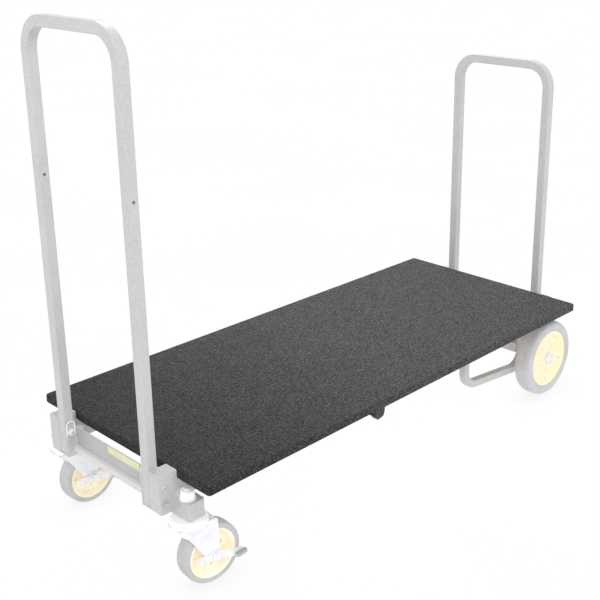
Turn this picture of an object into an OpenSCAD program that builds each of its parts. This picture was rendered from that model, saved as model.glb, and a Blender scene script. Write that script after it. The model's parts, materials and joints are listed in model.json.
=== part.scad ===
// Four-wheel platform luggage cart: carpeted deck, two U-shaped end handles,
// telescoping base, two swivel casters with side brakes and two large fixed wheels.
// Millimetres. +X runs from the caster end (front) to the large-wheel end (rear), +Z is up,
// "near" is -Y and "far" is +Y. The origin is on the ground under the middle of the deck.

/* [Deck] */
// Length of the deck
deck_length = 1247; // [1243:1:1248]
// Width of the deck
deck_width = 556; // [520:1:580]
// Height of the deck's top above the ground
deck_top = 248; // [248:1:256]
// Thickness of the carpet on the deck
carpet_thickness = 3; // [2:0.5:4]
// Thickness of the deck's board
board_thickness = 15; // [12:0.5:15]
// Corner radius of the deck in plan
deck_radius = 7; // [6:1:20]

/* [Handles] */
// Outer size of the square handle tube
tube_size = 22.2; // [20:0.1:22.4]
// Wall of the handle tube
tube_wall = 1.6; // [1.2:0.1:2]
// Distance between the two legs of a handle, centre to centre
leg_gap = 285; // [284.8:0.1:285.2]
// Height of the front handle's top above the ground
front_top = 1067; // [900:1:1150]
// Height of the rear handle's top above the ground
rear_top = 871; // [840:1:1000]
// Centreline radius of the handle bends
bend_radius = 57; // [40:1:70]
// Height of the accessory holes in the front handle's legs
accessory_z = 767; // [700:1:800]
// Diameter of the accessory holes
accessory_dia = 6.6; // [5:0.1:8]

/* [Base] */
// Width of an outer side rail
rail_width = 32; // [32:0.5:33]
// Height of a side rail
rail_height = 42.8; // [42:0.1:43]
// Wall of the rails
rail_wall = 2; // [1.5:0.1:2.2]
// X position of the outer rails' open ends
rail_end = -50; // [-60:1:-40]
// X position of the front handle's legs
front_x = -652.1; // [-653:0.1:-652]
// X position of the rear handle's legs
rear_x = 647; // [647:0.5:649]
// Height of the handle pivots
pivot_z = 224; // [223:0.5:225]
// Height of the lock pins
lock_z = 190; // [189:0.5:191]

/* [Casters] */
// Caster wheel radius
caster_radius = 63.5; // [60:0.5:63.5]
// Caster tread width
caster_width = 33; // [30:0.5:34]
// Distance of the wheel's axle behind the swivel axis
trail = 39; // [36:0.5:40]
// Swivel angle of the near caster
near_angle = -5.5; // [-8:0.5:8]
// Swivel angle of the far caster
far_angle = 2; // [-8:0.5:8]

/* [Rear wheels] */
// Rear wheel radius
wheel_radius = 101.6; // [98:0.1:101.6]
// Rear tread width
wheel_width = 48; // [46:0.5:49]
// X position of the rear axle
axle_x = 561.6; // [558:0.1:562]

/* [Hidden] */
$fn = 48;
overlap = 0.01;

// Deck
deck_x = 3.5;                   // middle of the deck along the cart
deck_bottom = deck_top - carpet_thickness - board_thickness;
batten_starts = [-560, 320];    // X of each batten's front end
batten_size = [240, 16, 18];
batten_y = 134;                 // inner face
screw_insets = [20, 220];       // from a batten's front end
screw_y = batten_y + batten_size.y / 2;
screw_radius = 2.2;

// Rails; the inner rails slide in the outer ones
rail_top = 229.8;
rail_bottom = rail_top - rail_height;
rail_y = 168.5;                 // centreline of both rails
rail_inside = rail_y - rail_width / 2;
rail_outside = rail_y + rail_width / 2;
slide_width = rail_width - 2 * rail_wall - 1;
slide_height = rail_height - 2 * rail_wall - 1;
slide_z = rail_bottom + rail_wall + 0.5;
slide_start = -150;
side_y = rail_y + slide_width / 2 + 0.02; // inner face of the skid loops and axle plates

// Handle legs and corner brackets
leg_y = leg_gap / 2;
leg_half = tube_size / 2;
leg_radius = 2.6;               // corner radius of the handle tube
bore_size = tube_size - 2 * tube_wall;
bore_radius = 1.2;
leg_clearance = 0.7;
foot_z = 168;                   // lowest point of brackets and leg plugs
plug_top = 176;
bracket_inside = leg_y + leg_half + leg_clearance;
bracket_width = 32;
bracket_outside = bracket_inside + bracket_width;
bracket_wall = 2.5;
ear_outside = leg_y - leg_half - 0.15;
ear_inside = ear_outside - 3.2;
front_box = 41.2;               // length of a front bracket's box
front_box_top = 247;
rear_box = tube_size;
rear_reach = 46;                // length of a rear bracket along the rail
rear_box_top = 232;
pin_radius = 4;
pin_hole = 4.05;

// Clamps
knob_x = -116;
knob_z = 198;
stud_radius = 5;

// Casters
swivel_x = -614.5;
swivel_y = 206;
stem_radius = 6;
stem_hole = 6.03;
outrigger_z = 157;              // underside
outrigger_top = rail_bottom + 7; // top outside the bracket
outrigger_x0 = front_x + 22;
outrigger_x1 = -592;
outrigger_y = 228;              // outer face
fork_inside = 20.2;             // inner face of a fork cheek
fork_thickness = 3;
fork_outside = fork_inside + fork_thickness;
caster_axle_radius = 5;
lever_y = fork_outside + 0.4;
lever_thickness = 3;

// Rear wheels and skid loops
wheel_y = 229;                  // centre plane of a rear wheel
axle_z = wheel_radius;
axle_radius = 7.95;
loop_front_x = 262;             // centrelines of a skid loop's legs
loop_rear_x = 515;
loop_tube = 19;

frame_color = [0.80, 0.80, 0.80];
zinc_color = [0.88, 0.88, 0.90];
tyre_color = [0.77, 0.77, 0.77];
hub_color = [1.0, 0.91, 0.70];
plastic_color = [0.72, 0.72, 0.72];
carpet_color = [0.26, 0.26, 0.27];
wood_color = "tan";

// ---- shared shapes ----
function arc(x, y, radius, start, end, steps) = [
  for (i = [0:steps])
    let (angle = start + (end - start) * i / steps)
    [x + radius * cos(angle), y + radius * sin(angle)]];

// outline of a centred rectangle with rounded corners
function rounded_rect(width, height, radius, steps = 4) =
  let (x = width / 2 - radius, y = height / 2 - radius)
  concat(
    arc(x, y, radius, 0, 90, steps), arc(-x, y, radius, 90, 180, steps),
    arc(-x, -y, radius, 180, 270, steps), arc(x, -y, radius, 270, 360, steps));

function rounded_square(size, radius) = rounded_rect(size, size, radius);

// moves a far-side part to the near side
module near_side() { mirror([0, 1, 0]) children(); }

// both sides of the cart
module sides() {
  near_side() children();
  children();
}

module y_cyl(radius, y0, y1, x = 0, z = 0) {
  translate([x, y0, z]) rotate([-90, 0, 0]) cylinder(r = radius, h = y1 - y0);
}

module y_hex(across_flats, y0, y1, x = 0, z = 0) {
  translate([x, y0, z]) rotate([-90, 0, 0])
    cylinder(r = across_flats / 2 / cos(30), h = y1 - y0, $fn = 6);
}

module z_cyl(radius, z0, z1) { translate([0, 0, z0]) cylinder(r = radius, h = z1 - z0); }

// extrudes an outline in the X-Z plane from y0 to y1
module xz_plate(y0, y1) {
  translate([0, y1, 0]) rotate([90, 0, 0]) linear_extrude(y1 - y0) children();
}

// rail tube along X, centred on rail_y
module rail_tube(x0, x1, width, height, z0, radius) {
  module bar(start, length, outline) {
    translate([start, rail_y, z0 + height / 2]) rotate([90, 0, 90])
      linear_extrude(length) polygon(outline);
  }
  difference() {
    bar(x0, x1 - x0, rounded_rect(width, height, radius));
    bar(x0 - 1, x1 - x0 + 2, rounded_rect(
      width - 2 * rail_wall, height - 2 * rail_wall, max(0.4, radius - rail_wall)));
  }
}

// square-cornered tube across the cart, from -half_length to half_length
module cross_tube(x, z, depth, height, half_length) {
  wall = 2;
  difference() {
    translate([x, -half_length, z]) cube([depth, 2 * half_length, height]);
    translate([x + wall, -half_length - 1, z + wall])
      cube([depth - 2 * wall, 2 * half_length + 2, height - 2 * wall]);
  }
}

// ---- handles ----
// solid U of square section with its legs starting at bottom
module handle_solid(size, radius, x, top, bottom) {
  bar_z = top - tube_size / 2;
  bend_z = bar_z - bend_radius;
  bend_y = leg_y - bend_radius;
  section = rounded_square(size, radius);
  sides() {
    translate([x, leg_y, bottom]) linear_extrude(bend_z - bottom) polygon(section);
    translate([x, bend_y, bend_z]) rotate([90, 0, 90])
      rotate_extrude(angle = 90) translate([bend_radius, 0]) polygon(section);
  }
  translate([x, -bend_y, bar_z]) rotate([-90, 0, 0])
    linear_extrude(2 * bend_y) polygon(section);
}

module handle(x, top, accessory_holes) {
  bottom = plug_top + 0.05;
  difference() {
    handle_solid(tube_size, leg_radius, x, top, bottom);
    handle_solid(bore_size, bore_radius, x, top, bottom - 1);
    sides() {
      y_cyl(pin_hole, leg_y - 14, leg_y + 14, x, pivot_z);
      y_cyl(pin_hole + 0.2, leg_y, leg_y + 14, x, lock_z); // outer wall only
      if (accessory_holes) y_cyl(accessory_dia / 2, leg_y - 14, leg_y + 14, x, accessory_z);
    }
  }
}

// moulded plug in the foot of a leg, stepped in at the bottom
module leg_plug(x) {
  step_z = foot_z + 3;
  translate([x, leg_y, 0]) difference() {
    union() {
      translate([0, 0, step_z]) linear_extrude(plug_top - step_z)
        polygon(rounded_square(tube_size, leg_radius));
      translate([0, 0, foot_z]) linear_extrude(step_z - foot_z + overlap)
        polygon(rounded_square(tube_size - 4, leg_radius));
      translate([0, 0, plug_top - overlap]) linear_extrude(6)
        polygon(rounded_square(bore_size - 0.2, bore_radius));
    }
    translate([0, 0, step_z + 1]) cylinder(r = 6, h = 12);
  }
}

// wire clip that hangs over the pivot nut; rise is its top above the pivot
module clip(x, rise) {
  wire_radius = 1.25;
  arch_radius = 9.2;
  arch_z = pivot_z + rise - arch_radius;
  end_z = pivot_z - 6;
  translate([x, ear_inside - 0.1 - wire_radius, 0]) {
    for (side = [-1, 1]) translate([side * arch_radius, 0, end_z]) {
      cylinder(r = wire_radius, h = arch_z - end_z + overlap, $fn = 24);
      sphere(r = wire_radius, $fn = 24);
    }
    translate([0, 0, arch_z]) rotate([90, 0, 0])
      rotate_extrude(angle = 180) translate([arch_radius, 0])
        circle(r = wire_radius, $fn = 24);
  }
}

module front_handle() { color(frame_color) handle(front_x, front_top, true); }
module front_leg_plugs() { color(plastic_color) sides() leg_plug(front_x); }
module front_clip_springs() { color(zinc_color) sides() clip(front_x, rise = 24); }
module rear_handle() { color(frame_color) handle(rear_x, rear_top, false); }
module rear_leg_plugs() { color(plastic_color) sides() leg_plug(rear_x); }
module rear_clip_springs() { color(zinc_color) sides() clip(rear_x, rise = 14); }

// ---- corner brackets, pivots and lock pins ----
// Hollow corner bracket with the handle pivot, a low web behind the leg and an inner ear.
// inward = 1 at the front, -1 at the rear; box, reach and foot are the lengths at the top,
// along the rail and at the bottom; top is the height of the box.
module bracket(x, inward, box, reach, foot, top) {
  ear_top = max(top - 5, pivot_z + 9);
  // X at a distance in from the bracket's outer end
  function at(distance) = x + inward * (distance - leg_half);
  module side_view(inset) {
    ledge_z = rail_top - (reach > box ? inset : 0);
    end_z = top + (inset > 0 ? 1 : 0); // the cavity is open at the top
    polygon([
      [at(inset), foot_z + 2 + inset],
      [at(2 + inset * 0.4), foot_z + inset],
      [at(foot - inset), foot_z + inset],
      [at(foot - inset), rail_bottom + inset],
      [at(reach - inset), rail_bottom + inset],
      [at(reach - inset), ledge_z],
      [at(box - inset), ledge_z],
      [at(box - inset), end_z],
      [at(inset), end_z]]);
  }
  difference() {
    union() {
      xz_plate(bracket_inside, bracket_outside) side_view(0);
      // web
      xz_plate(ear_inside, bracket_inside + 1)
        polygon([[at(22.8), 176], [at(25.8), 176], [at(25.8), 221], [at(22.8), 221]]);
      // ear
      xz_plate(ear_inside, ear_outside) polygon(concat(
        [[at(0), foot_z + 2], [at(2), foot_z], [at(31), foot_z], [at(31), 228],
         [at(22), ear_top - 4]],
        [for (angle = [90:15:180]) [at(6 + 6 * cos(angle)), ear_top - 6 + 6 * sin(angle)]]));
    }
    xz_plate(bracket_inside + bracket_wall, bracket_outside - bracket_wall)
      side_view(bracket_wall);
    y_cyl(pin_hole, ear_inside - 1, bracket_outside + 1, x, pivot_z);
    y_cyl(pin_hole, bracket_inside - 1, bracket_outside + 1, x, lock_z);
  }
}

// cap with a grid of ribs that closes the top of a bracket; skirt is its depth in the box
module bracket_cap(x, inward, box, top, skirt) {
  plate_top = 1.8;
  rib_height = 1.2;
  rib_width = 1.5;
  rib_pitch = 4.2;
  skirt_length = box - 5.4;
  skirt_width = bracket_width - 5.4;
  // block centred in X and Y, inset from the edges of the box
  module slab(inset, z, height) {
    translate([-box / 2 + inset, -bracket_width / 2 + inset, z])
      cube([box - 2 * inset, bracket_width - 2 * inset, height]);
  }
  translate([x + inward * (box / 2 - leg_half), bracket_inside + bracket_width / 2, top]) {
    slab(0.3, 0.05, plate_top);
    for (i = [-9:9]) if (abs(i * rib_pitch) < box / 2 - 2.6)
      translate([i * rib_pitch - rib_width / 2, -bracket_width / 2 + 1, plate_top])
        cube([rib_width, bracket_width - 2, rib_height]);
    for (j = [-3:3])
      translate([-box / 2 + 1, j * rib_pitch - rib_width / 2, plate_top])
        cube([box - 2, rib_width, rib_height]);
    // rim
    difference() {
      slab(0.3, plate_top, rib_height);
      slab(1.7, 1, 3);
    }
    difference() {
      translate([-skirt_length / 2, -skirt_width / 2, -skirt])
        cube([skirt_length, skirt_width, skirt + 0.1]);
      translate([-skirt_length / 2 + 2, -skirt_width / 2 + 2, -skirt - 1])
        cube([skirt_length - 4, skirt_width - 4, skirt + 1]);
    }
  }
}

module pivot_bolt(x) {
  head_y = bracket_outside + 0.05;
  // [radius, distance from the head's underside]
  head = [[0, 0], [6.6, 0], [6.6, 0.8], [5.6, 2.2], [4.2, 2.9], [0, 2.9]];
  y_cyl(pin_radius, ear_inside - 8.5, head_y + 0.5, x, pivot_z);
  difference() {
    translate([x, head_y, pivot_z]) rotate([-90, 0, 0]) rotate_extrude() polygon(head);
    y_hex(4, head_y + 1.2, head_y + 4, x, pivot_z);
  }
}

// hexagon nut with a round flange against the bracket's ear
module pivot_nut(x) {
  difference() {
    union() {
      y_hex(11, ear_inside - 7.5, ear_inside - 2.0, x, pivot_z);
      y_cyl(6.6, ear_inside - 2.1, ear_inside - 0.05, x, pivot_z);
    }
    y_cyl(pin_radius + 0.02, ear_inside - 9, ear_outside, x, pivot_z);
  }
}

// plunger with a pull knob outside the bracket, its tip just clear of the leg
module lock_pin(x) {
  tip_y = leg_y + leg_half + 0.3;
  y_cyl(pin_radius, tip_y + 1, bracket_outside + 8, x, lock_z);
  translate([x, tip_y, lock_z]) rotate([-90, 0, 0])
    cylinder(r1 = pin_radius - 1, r2 = pin_radius, h = 1 + overlap);
  // collar inside the bracket
  y_cyl(6.6, bracket_inside + 14, bracket_inside + 16.5, x, lock_z);
  difference() {
    union() {
      y_cyl(5, bracket_outside + 6.1, bracket_outside + 10, x, lock_z);
      y_cyl(6.2, bracket_outside + 8.6, bracket_outside + 11.6, x, lock_z);
    }
    y_cyl(3.6, bracket_outside + 11, bracket_outside + 13, x, lock_z);
  }
}

module front_corner_brackets() {
  color(frame_color) sides()
    bracket(front_x, 1, box = front_box, reach = front_box, foot = 32.9, top = front_box_top);
}
module rear_corner_brackets() {
  color(frame_color) sides()
    bracket(rear_x, -1, box = rear_box, reach = rear_reach, foot = 26, top = rear_box_top);
}
module front_bracket_caps() {
  color(plastic_color) sides() bracket_cap(front_x, 1, front_box, front_box_top, skirt = 8);
}
// the shorter skirt stays clear of the pivot bolt
module rear_bracket_caps() {
  color(plastic_color) sides() bracket_cap(rear_x, -1, rear_box, rear_box_top, skirt = 3.2);
}
module front_pivot_bolts() { color(zinc_color) sides() pivot_bolt(front_x); }
module front_pivot_nuts() { color(zinc_color) sides() pivot_nut(front_x); }
module rear_pivot_bolts() { color(zinc_color) sides() pivot_bolt(rear_x); }
module rear_pivot_nuts() { color(zinc_color) sides() pivot_nut(rear_x); }
module front_lock_pin_near() { color(plastic_color) near_side() lock_pin(front_x); }
module front_lock_pin_far() { color(plastic_color) lock_pin(front_x); }
module rear_lock_pin_near() { color(plastic_color) near_side() lock_pin(rear_x); }
module rear_lock_pin_far() { color(plastic_color) lock_pin(rear_x); }

// ---- front base ----
module outer_rails() {
  color(frame_color) sides() difference() {
    rail_tube(front_x - leg_half + front_box + 0.2, rail_end,
      rail_width, rail_height, rail_bottom, radius = 2);
    y_cyl(5.2, rail_outside - 4, rail_outside + 1, knob_x, knob_z);
  }
}

// pressed plate between the brackets' inner ears
module front_cross_member() {
  x = front_x + leg_half + leg_clearance;
  half_length = ear_inside - 0.05;
  thickness = 2.5;
  lip_depth = 7.5;
  color(frame_color) {
    translate([x, -half_length, 176]) cube([thickness, 2 * half_length, 56]);
    // bottom flange
    translate([x, -half_length, 176]) cube([14, 2 * half_length, thickness]);
    // top gussets
    sides() translate([x, 0, 229.5]) linear_extrude(thickness) polygon([
      [0, half_length], [0, half_length - 22], [2.6, half_length - 22],
      [18, half_length - 14], [18, half_length]]);
    // hollow lower lip on the front face, its front edges rounded
    difference() {
      translate([x - lip_depth, 0, 0]) xz_plate(-half_length, half_length) polygon(concat(
        [[lip_depth + 0.1, 174], [lip_depth + 0.1, 189]],
        arc(3, 186, 3, 90, 180, 5), arc(3, 177, 3, 180, 270, 5)));
      translate([x - 5.5, -half_length - 1, 176]) cube([5.5, 2 * half_length + 2, 11]);
    }
  }
}

// two tubes between the outer rails
module rail_centre_brace() {
  color(frame_color) for (x = [-180, -420])
    cross_tube(x, z = 190, depth = 25, height = 20, half_length = rail_inside);
}

// hollow arms over the casters, with a raised part outside the bracket
module caster_outriggers() {
  wall = 3;
  chamfer = 2.5;
  function plan(inner_y) = [
    [outrigger_x0, inner_y], [outrigger_x1, inner_y],
    [outrigger_x1, outrigger_y - chamfer], [outrigger_x1 - chamfer, outrigger_y],
    [outrigger_x0 + chamfer, outrigger_y], [outrigger_x0, outrigger_y - chamfer]];
  height = rail_bottom - outrigger_z;
  color(frame_color) sides() difference() {
    union() {
      translate([0, 0, outrigger_z]) linear_extrude(height - 0.05)
        polygon(plan(bracket_inside + 0.1));
      translate([0, 0, outrigger_z + 10]) linear_extrude(outrigger_top - outrigger_z - 10)
        polygon(plan(bracket_outside + 0.2));
    }
    // cavity, open on the inner side
    translate([outrigger_x0 + wall, 151, outrigger_z + wall])
      cube([outrigger_x1 - outrigger_x0 - 2 * wall, 73, height - 2 * wall]);
    translate([swivel_x, swivel_y, outrigger_z - 1]) cylinder(r = 6.3, h = 50);
  }
}

// collars on the open ends of the outer rails
module rail_guide_bushes() {
  gap = 0.15;
  color(plastic_color) sides() difference() {
    translate([rail_end + 0.1, rail_inside - 1, rail_bottom - 1])
      cube([6, rail_width + 2, rail_height + 0.9]);
    translate([rail_end - 1, rail_y - slide_width / 2 - gap, slide_z - gap])
      cube([10, slide_width + 2 * gap, slide_height + 2 * gap]);
  }
}

module clamp_bosses() {
  face_y = rail_outside + 0.02;
  color(frame_color) sides() difference() {
    union() {
      y_cyl(11, face_y, rail_outside + 16, knob_x, knob_z);
      translate([knob_x - 18, face_y, 181]) cube([36, 3, 44]);
    }
    y_cyl(stud_radius + 0.06, rail_outside - 1, rail_outside + 17, knob_x, knob_z);
  }
}

// ---- clamp knobs ----
module knob() {
  lobe_count = 6;
  lobe_ring = 13.5;
  color(plastic_color) difference() {
    union() {
      y_cyl(15, 226, 246, knob_x, knob_z);
      for (i = [0:lobe_count - 1]) {
        angle = i * 360 / lobe_count + 15;
        y_cyl(4.6, 229, 244.5, knob_x + lobe_ring * cos(angle), knob_z + lobe_ring * sin(angle));
      }
      y_cyl(10.5, 216, 227, knob_x, knob_z);
    }
    y_cyl(stud_radius + 0.02, 215, 236, knob_x, knob_z);
  }
}

module stud() {
  color(zinc_color) y_cyl(stud_radius, rail_y + slide_width / 2 + 0.1, 235.8, knob_x, knob_z);
}

module clamp_knob_near() { near_side() knob(); }
module clamp_knob_far() { knob(); }
module clamp_stud_near() { near_side() stud(); }
module clamp_stud_far() { stud(); }

// ---- rear base ----
module inner_rails() {
  color(frame_color) sides()
    rail_tube(slide_start, rear_x + leg_half - rear_reach - 0.4,
      slide_width, slide_height, slide_z, radius = 1.6);
}

// channel open to the front, with a low bar on its rear face
module rear_cross_member() {
  x = rear_x - 22.1;              // rear face
  half_length = leg_y + leg_half;
  bottom = 178;
  height = 46;
  thickness = 2.5;
  flange = 13;
  color(frame_color) {
    translate([x - thickness, -half_length, bottom])
      cube([thickness, 2 * half_length, height]);
    for (z = [bottom + height - thickness, bottom])
      translate([x - flange, -half_length, z]) cube([flange, 2 * half_length, thickness]);
    translate([x - 0.1, -half_length + 26, bottom]) cube([8.7, 2 * half_length - 52, 6]);
  }
}

// joins the rear legs of the skid loops
module lower_cross_tube() {
  size = 25;
  color(frame_color) cross_tube(loop_rear_x - size / 2, z = 118,
    depth = size, height = size, half_length = side_y - 0.02);
}

// one skid loop: square tube bent to a U below the rail, its foot sloping down to the rear
module loop_solid(size, radius, extra_top) {
  bend = 44;
  slope = 6;
  top = 205;
  y = side_y + loop_tube / 2;
  front_bend_z = 147;
  run = loop_rear_x - loop_front_x - 2 * bend;
  rear_bend_z = front_bend_z - run * tan(slope);
  section = rounded_square(size, radius);
  for (leg = [[loop_front_x, front_bend_z], [loop_rear_x, rear_bend_z]])
    translate([leg[0], y, leg[1]]) linear_extrude(top - leg[1] + extra_top) polygon(section);
  // sloping foot, run 0.3 into each bend
  translate([loop_front_x + bend - bend * sin(slope), y, front_bend_z - bend * cos(slope)])
    rotate([0, slope, 0]) translate([-0.3, 0, 0]) rotate([90, 0, 90])
      linear_extrude(run / cos(slope) + 0.6) polygon(section);
  translate([loop_front_x + bend, y, front_bend_z]) rotate([90, 0, 0]) rotate([0, 0, 180])
    rotate_extrude(angle = 90 - slope) translate([bend, 0]) polygon(section);
  translate([loop_rear_x - bend, y, rear_bend_z]) rotate([-90, 0, 0])
    rotate_extrude(angle = 90 + slope) translate([bend, 0]) polygon(section);
}

module skid_loops() {
  color(frame_color) sides() difference() {
    loop_solid(loop_tube, 2.4, 0);
    loop_solid(loop_tube - 3, 1, 1);
  }
}

// hanging plates with the axle hole and a larger round hole above it
module axle_plates() {
  color(frame_color) sides() difference() {
    xz_plate(side_y, side_y + 6) polygon(concat(
      [[536, 224], [532, 190]], arc(axle_x, axle_z, 22, 200, 340, 12),
      [[591, 190], [587, 224]]));
    y_cyl(axle_radius + 0.03, 180, 190, axle_x, axle_z);
    xz_plate(180, 190) polygon(arc(axle_x, 165, 14, 0, 352.5, 47));
  }
}

// axle with a spacer between each plate and wheel
module rear_axle() {
  color(zinc_color) {
    y_cyl(axle_radius, -262.5, 262.5, axle_x, axle_z);
    sides() y_cyl(12, 188.1, 207, axle_x, axle_z);
  }
}

// washer, hexagon and round end collar
module rear_axle_nuts() {
  color(zinc_color) sides() difference() {
    union() {
      y_cyl(14, 246.3, 248.4, axle_x, axle_z);
      y_hex(23, 248.3, 258, axle_x, axle_z);
      y_cyl(9.8, 257, 261, axle_x, axle_z);
    }
    y_cyl(axle_radius + 0.03, 240, 264, axle_x, axle_z);
  }
}

// end caps with a hollow spigot in the front ends of the inner rails
module inner_rail_glides() {
  // block in the rail's section, grown or shrunk by inset on all four sides
  module block(x, inset, length) {
    translate([x, rail_y - slide_width / 2 + inset, slide_z + inset])
      cube([length, slide_width - 2 * inset, slide_height - 2 * inset]);
  }
  color(plastic_color) sides() difference() {
    union() {
      block(slide_start - 3, -0.3, 2.9);
      block(slide_start - 0.2, rail_wall + 0.3, 14);
    }
    block(slide_start, rail_wall + 2, 20);
  }
}

// ---- rear wheels ----
// profiles are [radius, distance from the wheel's centre plane]
module rear_wheel_at() {
  translate([axle_x, wheel_y, axle_z]) rotate([-90, 0, 0]) children();
}

module rear_tyre() {
  half = wheel_width / 2;
  rim = wheel_radius;
  profile = [
    [76.05, -half + 4], [79, -half + 1.2], [84, -half], [92, -half + 0.6],
    [rim - 4, -half + 3.2], [rim - 1.2, -half + 8], [rim, -half + 14],
    [rim, half - 14], [rim - 1.2, half - 8], [rim - 4, half - 3.2],
    [92, half - 0.6], [84, half], [79, half - 1.2], [76.05, half - 4],
    [70.05, half - 7.5], [70.05, -half + 7.5]];
  color(tyre_color) rear_wheel_at() rotate_extrude($fn = 96) polygon(profile);
}

module rear_hub() {
  half = wheel_width / 2;
  rib_count = 10;
  slot_count = 5;
  profile = [
    [17.55, -21], [24, -21], [26, -14], [60, -8.5],
    [68, -half + 4.6], [70, -half + 3.7], [75.9, -half + 3.3], [76, -half + 3.95],
    [70, -half + 7.42], [70, half - 7.42],
    [76, half - 3.95], [75.9, half - 3.3], [70, half - 3.7], [68, half - 4.6],
    [62, 13.5], [44, 11.5], [28, 14.5], [24, 17.5], [17.55, 17.5]];
  color(hub_color) rear_wheel_at() difference() {
    union() {
      rotate_extrude($fn = 96) polygon(profile);
      for (i = [0:rib_count - 1]) rotate([0, 0, i * 360 / rib_count])
        translate([24.6, -1.6, -12.7]) cube([41.3, 3.2, 25.3]);
    }
    // slots in the outer face, in two rings
    for (i = [0:slot_count - 1]) rotate([0, 0, i * 360 / slot_count + 18])
      for (ring = [36, 60]) translate([ring, 0, 10.5])
        linear_extrude(12) polygon(rounded_rect(9, 4, 1.9));
  }
}

// two bearings, each with a shallow ring groove in both faces
module rear_bearings() {
  width = 11;
  color(zinc_color) rear_wheel_at() for (z = [-21.8, 6.2]) difference() {
    translate([0, 0, z]) cylinder(r = 17.5, h = width);
    translate([0, 0, z - 1]) cylinder(r = axle_radius + 0.05, h = width + 2);
    for (groove_z = [z - 0.1, z + width - 0.7]) difference() {
      translate([0, 0, groove_z]) cylinder(r = 14.4, h = 0.8);
      translate([0, 0, groove_z - 1]) cylinder(r = 10.9, h = 3);
    }
  }
}

module rear_tyre_near() { near_side() rear_tyre(); }
module rear_hub_near() { near_side() rear_hub(); }
module rear_bearings_near() { near_side() rear_bearings(); }
module rear_tyre_far() { rear_tyre(); }
module rear_hub_far() { rear_hub(); }
module rear_bearings_far() { rear_bearings(); }

// ---- caster mounts ----
module at_swivels() { sides() translate([swivel_x, swivel_y, 0]) children(); }

module caster_top_races() {
  // [radius, z]
  profile = [
    [stem_hole, 146.4], [30, 146.4], [33, 145.4], [37, 145.4], [37, 151],
    [35.5, 153.6], [32, 156.95], [stem_hole, 156.95]];
  color(zinc_color) at_swivels() rotate_extrude() polygon(profile);
}

module caster_stem_bolts() {
  color(zinc_color) at_swivels() {
    z_cyl(stem_radius, 136, 214.5);
    z_cyl(10.5, 134.5, 138.7); // head
    z_cyl(5.2, 214.4, 216.5);  // tip
  }
}

// washer, hexagon with its corners turned down, and a round collar on top
module caster_stem_nuts() {
  base = outrigger_top;
  color(zinc_color) at_swivels() difference() {
    union() {
      z_cyl(15.6, base + 0.02, base + 3);
      intersection() {
        translate([0, 0, base + 2.9]) rotate([0, 0, 12]) cylinder(r = 15.4, h = 14.2, $fn = 6);
        z_cyl(14.5, base + 2, base + 20);
      }
      z_cyl(12.2, base + 17, base + 19);
    }
    z_cyl(stem_hole, 180, 220);
  }
}

// ---- casters ----
// Both casters are the same hand, with the brake lever on the near side. Local frame:
// x along the trail, y towards the lever, z up, origin on the ground under the swivel axis.
module caster_at(y, angle) {
  translate([swivel_x, y, 0]) rotate([0, 0, angle]) mirror([0, 1, 0]) children();
}
module near_caster() { caster_at(-swivel_y, near_angle) children(); }
module far_caster() { caster_at(swivel_y, far_angle) children(); }

module fork() {
  // [radius, z] of the lower race on the crown
  race = [[6.06, 139], [33, 139], [34.5, 140.8], [34.5, 144.5], [31, 146], [6.06, 146]];
  // [x, z]
  cheek = concat(
    [[-29, 143], [-33, 141], [-34, 137], [-27, 130], [-17, 121], [-7, 107],
     [4, 89], [15, 73], [22, 65]],
    arc(trail, caster_radius, 13.5, 200, 340, 16),
    [[51.5, 80], [49.5, 138], [47, 142], [44, 143]]);
  color(zinc_color) difference() {
    union() {
      rotate_extrude() polygon(race);
      sides() xz_plate(fork_inside, fork_outside) polygon(cheek);
      translate([-30, -fork_outside, 139]) cube([75, 2 * fork_outside, 4]);
    }
    z_cyl(6.06, 138, 150);
    y_cyl(caster_axle_radius + 0.04, -30, 30, trail, caster_radius);
  }
}

// bolt with its head, nut and a spacer on each side of the hub
module caster_axle() {
  color(zinc_color) {
    y_cyl(caster_axle_radius, -fork_outside - 6, fork_outside + 9.5, trail, caster_radius);
    y_hex(16, -fork_outside - 7.5, -fork_outside - 0.1, trail, caster_radius);
    y_hex(15, fork_outside + 4.2, fork_outside + 10.5, trail, caster_radius);
    sides() difference() {
      y_cyl(8, 14.2, fork_inside - 0.1, trail, caster_radius);
      y_cyl(caster_axle_radius - 0.1, -30, 30, trail, caster_radius);
    }
  }
}

// profiles are [radius, distance from the wheel's centre plane]
module caster_wheel_at() { translate([trail, 0, caster_radius]) rotate([-90, 0, 0]) children(); }

module caster_tyre() {
  half = caster_width / 2;
  rim = caster_radius;
  profile = [
    [47.05, -half + 4], [52.05, -half + 2.2], [52.05, -half], [59.5, -half],
    [rim - 1.6, -half + 1], [rim - 0.5, -half + 3], [rim, -half + 6.5],
    [rim, half - 6.5], [rim - 0.5, half - 3], [rim - 1.6, half - 1],
    [59.5, half], [52.05, half], [52.05, half - 2.2], [47.05, half - 4]];
  color(tyre_color) caster_wheel_at() rotate_extrude($fn = 96) polygon(profile);
}

module caster_hub() {
  half = caster_width / 2;
  profile = [
    [5.08, -14], [14, -14], [16, -9.5], [40, -8],
    [46, -half + 0.8], [52, -half + 0.2], [52, -half + 2.1], [47, -half + 3.9],
    [47, half - 3.9], [52, half - 2.1], [52, half - 0.2], [46, half - 0.8],
    [40, 8], [16, 9.5], [14, 14], [5.08, 14]];
  color(hub_color) caster_wheel_at() difference() {
    union() {
      rotate_extrude($fn = 96) polygon(profile);
      for (i = [0:5]) rotate([0, 0, i * 60]) translate([13, -1.3, -11]) cube([32, 2.6, 22]);
    }
    // a round hole between each pair of ribs
    for (i = [0:5]) rotate([0, 0, i * 60 + 30])
      translate([27, 0, -20]) cylinder(r = 2.4, h = 40);
  }
}

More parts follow.
